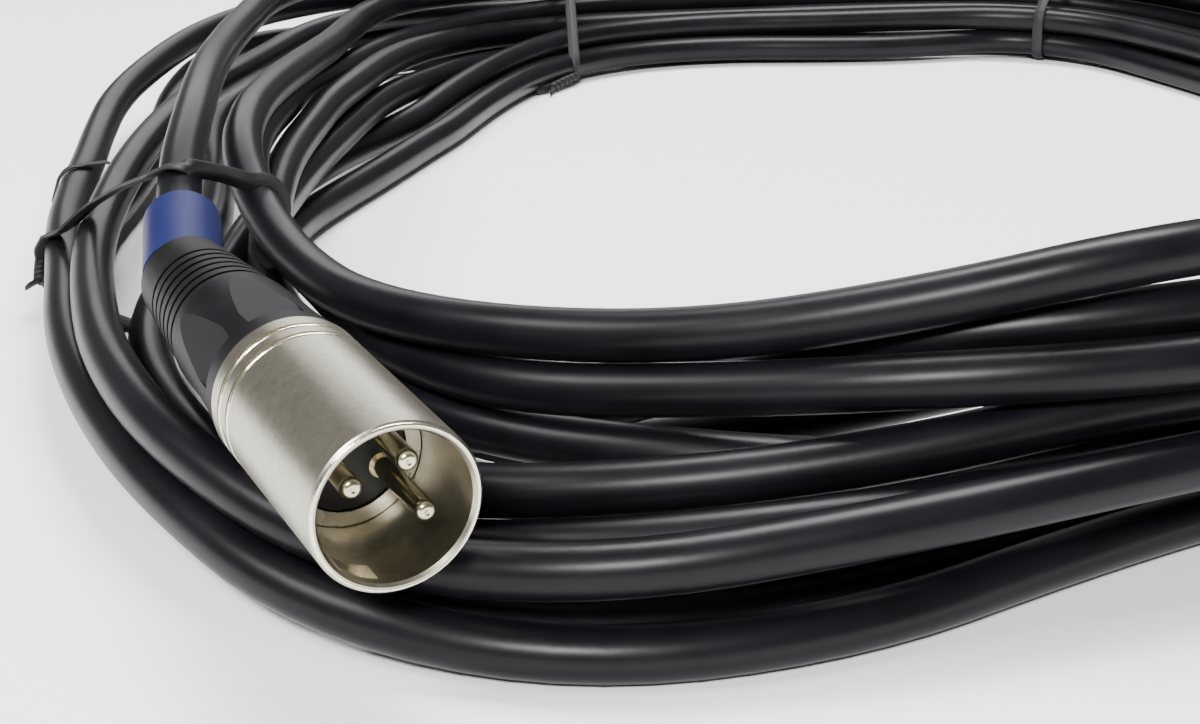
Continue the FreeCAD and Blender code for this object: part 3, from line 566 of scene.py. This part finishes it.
def laid_loop(corners, line):
    """A closed strip laid through the given corners, then eased off the strands it would cut into.
    """
    loop = even_ring(np.array(corners, float), LAID_POINTS)
    near = line[np.sqrt(((line - loop.mean(0)) ** 2).sum(1)) < LAID_REACH]
    clear = CABLE_RADIUS + TIE_BACK
    for _ in range(12):
        loop = eased(loop)
        for _ in range(3):
            for i in range(len(loop)):
                away = loop[i] - near
                far_off = np.sqrt((away ** 2).sum(1))
                k = int(far_off.argmin())
                if far_off[k] < clear:
                    loop[i] += away[k] / far_off[k] * (clear - far_off[k])
            loop[:, 2] = np.maximum(loop[:, 2], TIE_BACK)
    return loop


def strip_laid(bm, corners, line, across, scale=1.0):
    """Sweep the strip along a loop laid through the given corners.  Returns its place nearest the
    first corner.
    """
    loop = laid_loop(corners, line)
    across = Vector((across[0], across[1], 0.0)).normalized()
    flat = Vector((across.y, -across.x, 0.0))
    middle = Vector(loop.mean(0))
    turn = np.roll(loop, -2, axis=0) - np.roll(loop, 2, axis=0)
    places, sides, ups = [], [], []
    for place, way in zip(loop, turn):
        way = Vector(way).normalized()
        side = (flat - way * flat.dot(way)).normalized()
        up = side.cross(way)
        if up.dot(Vector(place) - middle) < 0:
            up, side = -up, -side
        places.append(Vector(place))
        sides.append(side)
        ups.append(up)
    sweep(bm, places, sides, ups, scale, True)
    return places[0] + ups[0] * 0.6, flat


def smooth_piece(bm, name):
    """A smoothly shaded object made from the mesh."""
    bmesh.ops.recalc_face_normals(bm, faces=bm.faces)
    mesh = bpy.data.meshes.new(name)
    bm.to_mesh(mesh)
    bm.free()
    for face in mesh.polygons:
        face.use_smooth = True
    piece = bpy.data.objects.new(name, mesh)
    SCENE.collection.objects.link(piece)
    return piece


def make_tie(name, spec, line):
    bm = bmesh.new()
    if name == "tie_left":
        root, flat = strip_laid(bm, LEFT_TURN, line, spec.across)
        strip_laid(bm, LEFT_THIN_TURN, line, THIN_ACROSS, THIN_SCALE)
        length = LEFT_END_LENGTH
    else:
        root, flat = strip_loop(bm, spec, line)
        length = END_LENGTH
    for phase in (0.0, math.pi):
        twisted_end(bm, root, Vector(spec.end_way), flat, length, phase)
    tie = smooth_piece(bm, name + "_strip")
    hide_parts(name)
    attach(tie, "root")
    return tie


CENTRE_LINE = fine_line(LAY)
ties = [make_tie(name, spec, CENTRE_LINE) for name, spec in TIES.items()]


# ------------------------------------------------------------------ materials

def material(name, colour, roughness, metallic=0.0, shine=0.5):
    mat = bpy.data.materials.new(name)
    mat.use_nodes = True
    shader = mat.node_tree.nodes["Principled BSDF"]
    shader.inputs["Base Color"].default_value = (*colour, 1.0)
    shader.inputs["Roughness"].default_value = roughness
    shader.inputs["Metallic"].default_value = metallic
    shader.inputs["Specular IOR Level"].default_value = shine
    return mat, mat.node_tree, shader


def noise(tree, scale, detail):
    coords = tree.nodes.new("ShaderNodeTexCoord")
    node = tree.nodes.new("ShaderNodeTexNoise")
    node.inputs["Scale"].default_value = scale
    node.inputs["Detail"].default_value = detail
    tree.links.new(coords.outputs["Object"], node.inputs["Vector"])
    return node.outputs["Fac"]


def ramp(tree, source, low, high, colours):
    node = tree.nodes.new("ShaderNodeValToRGB")
    node.color_ramp.elements[0].position = low
    node.color_ramp.elements[0].color = (*colours[0], 1.0)
    node.color_ramp.elements[1].position = high
    node.color_ramp.elements[1].color = (*colours[1], 1.0)
    tree.links.new(source, node.inputs["Fac"])
    return node.outputs["Color"]


def remap(tree, source, low, high):
    node = tree.nodes.new("ShaderNodeMapRange")
    node.inputs["To Min"].default_value = low
    node.inputs["To Max"].default_value = high
    tree.links.new(source, node.inputs["Value"])
    return node.outputs["Result"]


def bump(tree, shader, source, strength, distance):
    node = tree.nodes.new("ShaderNodeBump")
    node.inputs["Strength"].default_value = strength
    node.inputs["Distance"].default_value = distance
    tree.links.new(source, node.inputs["Height"])
    tree.links.new(node.outputs["Normal"], shader.inputs["Normal"])


def make_material(name, dark, light, rough, metallic, scale, grain, depth, shine=0.5):
    mat, tree, shader = material(name, light, rough[0], metallic, shine)
    cloud = noise(tree, scale, 4.0)
    tree.links.new(ramp(tree, cloud, 0.3, 0.7, (dark, light)), shader.inputs["Base Color"])
    tree.links.new(remap(tree, cloud, rough[0], rough[1]), shader.inputs["Roughness"])
    bump(tree, shader, noise(tree, grain, 2.0), 0.4, depth)
    return mat


MATERIALS = {
    "jacket": make_material("jacket", (0.0026, 0.0023, 0.0034), (0.0052, 0.0046, 0.0066),
                            (0.3, 0.4), 0.0, 90.0, 900.0, 0.00003, 0.17),
    "tie": make_material("tie", (0.007, 0.007, 0.008), (0.013, 0.012, 0.014),
                         (0.5, 0.65), 0.0, 200.0, 1500.0, 0.00004, 0.3),
    "nickel_shell": make_material("nickel_shell", (0.40, 0.372, 0.295), (0.475, 0.447, 0.365),
                                  (0.27, 0.33), 1.0, 900.0, 2600.0, 0.00004),
    "contact": make_material("contact", (0.52, 0.47, 0.33), (0.66, 0.61, 0.45),
                             (0.16, 0.26), 1.0, 300.0, 2500.0, 0.00001),
    "insert": make_material("insert", (0.004, 0.004, 0.004), (0.008, 0.008, 0.008),
                            (0.4, 0.55), 0.0, 200.0, 1500.0, 0.00003, 0.3),
    "bushing": make_material("bushing", (0.0022, 0.0020, 0.0028), (0.0046, 0.0042, 0.0058),
                             (0.4, 0.5), 0.0, 150.0, 900.0, 0.00003, 0.1),
    "boot": make_material("boot", (0.0020, 0.0018, 0.0020), (0.0045, 0.004, 0.0045),
                          (0.42, 0.55), 0.0, 200.0, 1300.0, 0.00006, 0.13),
    "sleeve": make_material("sleeve", (0.005, 0.008, 0.052), (0.008, 0.012, 0.078),
                            (0.4, 0.5), 0.0, 200.0, 1300.0, 0.00003, 0.2),
    "spring_steel": make_material("spring_steel", (0.42, 0.40, 0.35), (0.55, 0.53, 0.47),
                                  (0.22, 0.34), 1.0, 300.0, 2000.0, 0.00002),
    "core_red": make_material("core_red", (0.4, 0.03, 0.02), (0.5, 0.04, 0.03),
                              (0.4, 0.5), 0.0, 200.0, 1500.0, 0.00002),
    "core_white": make_material("core_white", (0.7, 0.7, 0.68), (0.8, 0.8, 0.78),
                                (0.4, 0.5), 0.0, 200.0, 1500.0, 0.00002),
    "drain": make_material("drain", (0.5, 0.4, 0.28), (0.6, 0.47, 0.33),
                           (0.3, 0.45), 1.0, 200.0, 1500.0, 0.00002),
    # Lip and milled rings: a lighter copy of the shell's nickel, a painted highlight on those edges.
    "painted_highlight_edge": make_material("painted_highlight_edge", (0.70, 0.67, 0.50), (0.90, 0.87, 0.70),
                                 (0.12, 0.3), 1.0, 1500.0, 1400.0, 0.00010),
}


def dress_frame():
    """Every CAD node gets the material of its slot."""
    for part in frame["record"]["subparts"]:
        node = frame["nodes"][part["node"]]
        node.data.materials.clear()
        node.data.materials.append(MATERIALS[part["material_slot"]])


dress_frame()
cable.data.materials.append(MATERIALS["jacket"])
for tie in ties:
    tie.data.materials.append(MATERIALS["tie"])


# ------------------------------------------------------------------ fine detail on the connectors

def lathe(name, pose, profile, centre=(0.0, 0.0), around=96, uneven=0.0):
    """A ring or cap turned about the connector's axis, or about a line beside it.
    The profile is (radius, station) pairs; closed when the first pair comes again last."""
    closed = profile[0] == profile[-1]
    rows = profile[:-1] if closed else profile
    bm = bmesh.new()
    rings = []
    for radius, station in rows:
        ring = []
        for i in range(around):
            angle = 2 * math.pi * i / around
            swell = 1.0 + uneven * (0.6 * math.sin(17 * angle) + 0.4 * math.sin(41 * angle + 1))
            ring.append(bm.verts.new(pose.point(
                centre[0] + radius * swell * math.cos(angle),
                centre[1] + radius * swell * math.sin(angle), station) * MM))
        rings.append(ring)
    last = len(rings) if closed else len(rings) - 1
    for r in range(last):
        one, two = rings[r], rings[(r + 1) % len(rings)]
        for i in range(around):
            k = (i + 1) % around
            bm.faces.new((one[i], one[k], two[k], two[i]))
    if not closed:
        bm.faces.new(rings[0])
        bm.faces.new(rings[-1][::-1])
    piece = smooth_piece(bm, name)
    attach(piece, "root")
    return piece


LIP_THICKNESS = 0.27
RING_RADIUS = 9.13
RING_THICKNESS = 0.3


def bead(radius, station, thick):
    """A small round-topped ring section, closed."""
    points = []
    for i in range(12):
        angle = 2 * math.pi * i / 12
        points.append((radius + thick * math.cos(angle), station + thick * math.sin(angle)))
    return points + [points[0]]


def dress_shell(pose, name, lip_station, lip_radius, stations):
    pieces = [lathe(name + "_lip", pose, bead(lip_radius, lip_station, LIP_THICKNESS),
                    uneven=0.0006)]
    for number, station in enumerate(stations, start=1):
        pieces.append(lathe("%s_milled_ring_%d" % (name, number), pose,
                            bead(RING_RADIUS, station, RING_THICKNESS), around=180,
                            uneven=0.002))
    # The lip and the milled rings take the lighter nickel: a painted highlight.
    for piece in pieces:
        piece.data.materials.append(MATERIALS["painted_highlight_edge"])


def dome_tips(pose, name, reach, station):
    """Rounded, dimpled ends on the contact pins."""
    profile = [(1.21, 0.75), (1.19, 0.5), (1.08, 0.2), (0.88, -0.04), (0.62, -0.18),
               (0.38, -0.22), (0.3, -0.16), (0.02, -0.1)]
    for number, (x, y) in enumerate(((reach, 0.0), (-reach, 0.0), (0.0, -reach)), start=1):
        rows = [(radius, station + rise) for radius, rise in profile]
        tip = lathe("%s_%d_tip" % (name, number), pose, rows, centre=(x, y), around=40)
        tip.data.materials.append(MATERIALS["contact"])


dress_shell(MALE, "male_shell", lip_station=0.22, lip_radius=8.95, stations=(26.5, 29.3))
dome_tips(MALE, "male_pin", reach=4.45, station=2.0)


# ------------------------------------------------------------------ floor and light

def make_floor():
    mesh = bpy.data.meshes.new("floor")
    side = 3.0
    level = -0.0002
    mesh.from_pydata([(-side, -side, level), (side, -side, level), (side, side, level),
                      (-side, side, level)], [], [(0, 1, 2, 3)])
    floor = bpy.data.objects.new("floor", mesh)
    SCENE.collection.objects.link(floor)
    mat, _, _ = material("floor", (0.97, 0.97, 0.97), 0.8)
    mesh.materials.append(mat)


def area_light(name, location, target, size, power):
    data = bpy.data.lights.new(name, "AREA")
    data.shape = "RECTANGLE"
    data.size = size[0]
    data.size_y = size[1]
    data.energy = power
    light = bpy.data.objects.new(name, data)
    light.location = location
    aim = Vector(target) - Vector(location)
    light.rotation_euler = aim.to_track_quat("-Z", "Y").to_euler()
    SCENE.collection.objects.link(light)


def make_light():
    world = bpy.data.worlds.new("world")
    world.use_nodes = True
    world.node_tree.nodes["Background"].inputs["Color"].default_value = (1.0, 1.0, 1.0, 1.0)
    world.node_tree.nodes["Background"].inputs["Strength"].default_value = 0.25
    SCENE.world = world
    area_light("left", (-0.75, -0.35, 0.8), (-0.05, -0.12, 0.0), (0.45, 0.3), 10.0)
    area_light("top", (0.1, 0.3, 1.0), (0.0, -0.05, 0.0), (0.7, 0.3), 22.0)
    area_light("front", (-0.15, -0.95, 0.66), (-0.05, -0.1, 0.0), (0.3, 0.16), 19.0)
    area_light("back", (-0.25, 1.1, 0.5), (-0.08, -0.1, 0.0), (0.7, 0.25), 2.5)


make_floor()
make_light()

bpy.context.view_layer.update()
